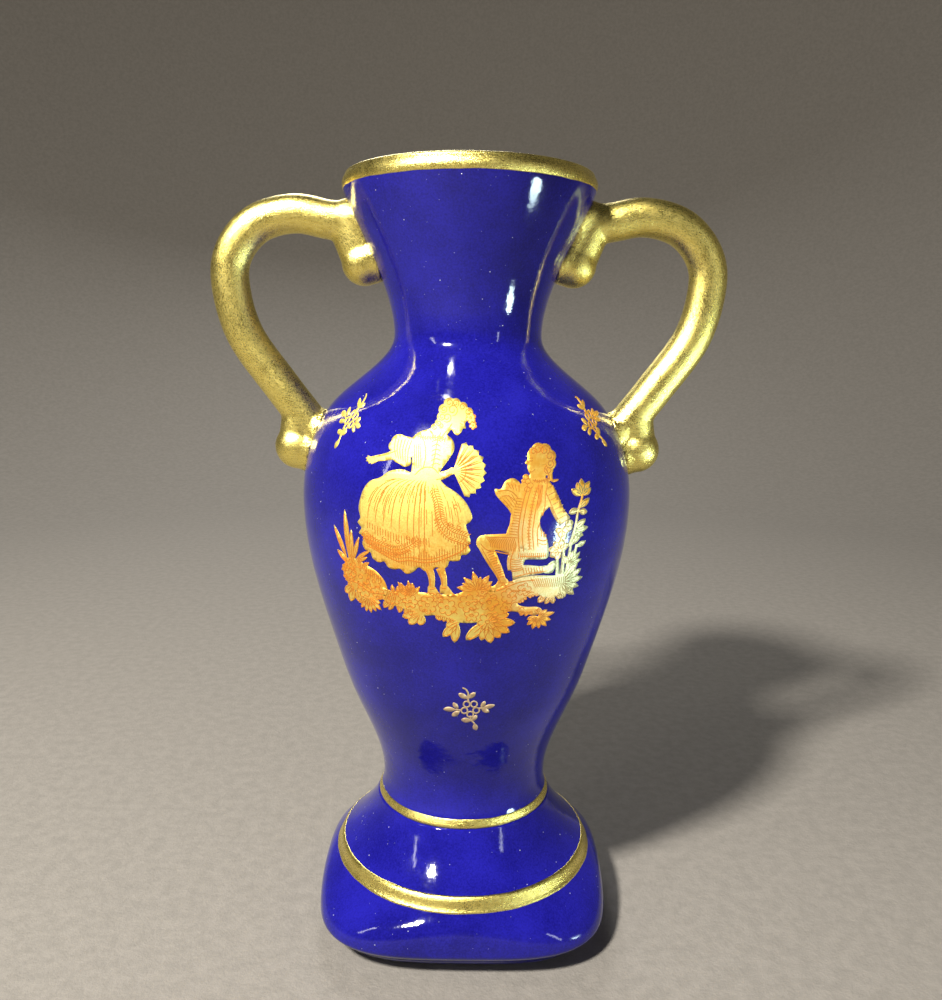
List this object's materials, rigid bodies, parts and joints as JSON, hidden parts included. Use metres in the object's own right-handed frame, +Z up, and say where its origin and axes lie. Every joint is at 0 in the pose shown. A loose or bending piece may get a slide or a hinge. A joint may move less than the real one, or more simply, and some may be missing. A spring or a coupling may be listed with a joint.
{
  "type": "porcelain vase",
  "caption": "Urn-shaped porcelain vase with looped side handles on a rounded square foot, cobalt glaze, gilded rim and bands, gold figure print on the front.",
  "frame": {"origin": "centre of the standing face, on the vase's axis", "axes": "+Z up along the vase's axis, the printed front faces -Y, the handles lie along X"},
  "size_m": [0.1006, 0.0655, 0.15],
  "materials": {
    "cobalt_glaze": "glossy cobalt blue glaze",
    "gilded_porcelain": "bright brushed-on gold over glaze",
    "gilding": "bright brushed-on gold",
    "gold_print": "satin gold print with fine lines",
    "fired_slip": "fired white porcelain slip"
  },
  "bodies": {
    "root": {"vase_body": "cobalt_glaze", "foot": "cobalt_glaze", "foot_luting": "fired_slip", "handle_left": "gilded_porcelain", "handle_right": "gilded_porcelain", "neck_luting_left": "fired_slip", "neck_luting_right": "fired_slip", "shoulder_luting_left": "fired_slip", "shoulder_luting_right": "fired_slip", "rim_gilding": "gilding", "waist_gilding": "gilding", "foot_gilding": "gilding", "lady_print": "gold_print", "gentleman_print": "gold_print", "ground_print": "gold_print", "bush_print": "gold_print", "branch_print": "gold_print", "low_sprig": "gold_print", "shoulder_sprig_left": "gold_print", "shoulder_sprig_right": "gold_print"}
  },
  "joints": []
}
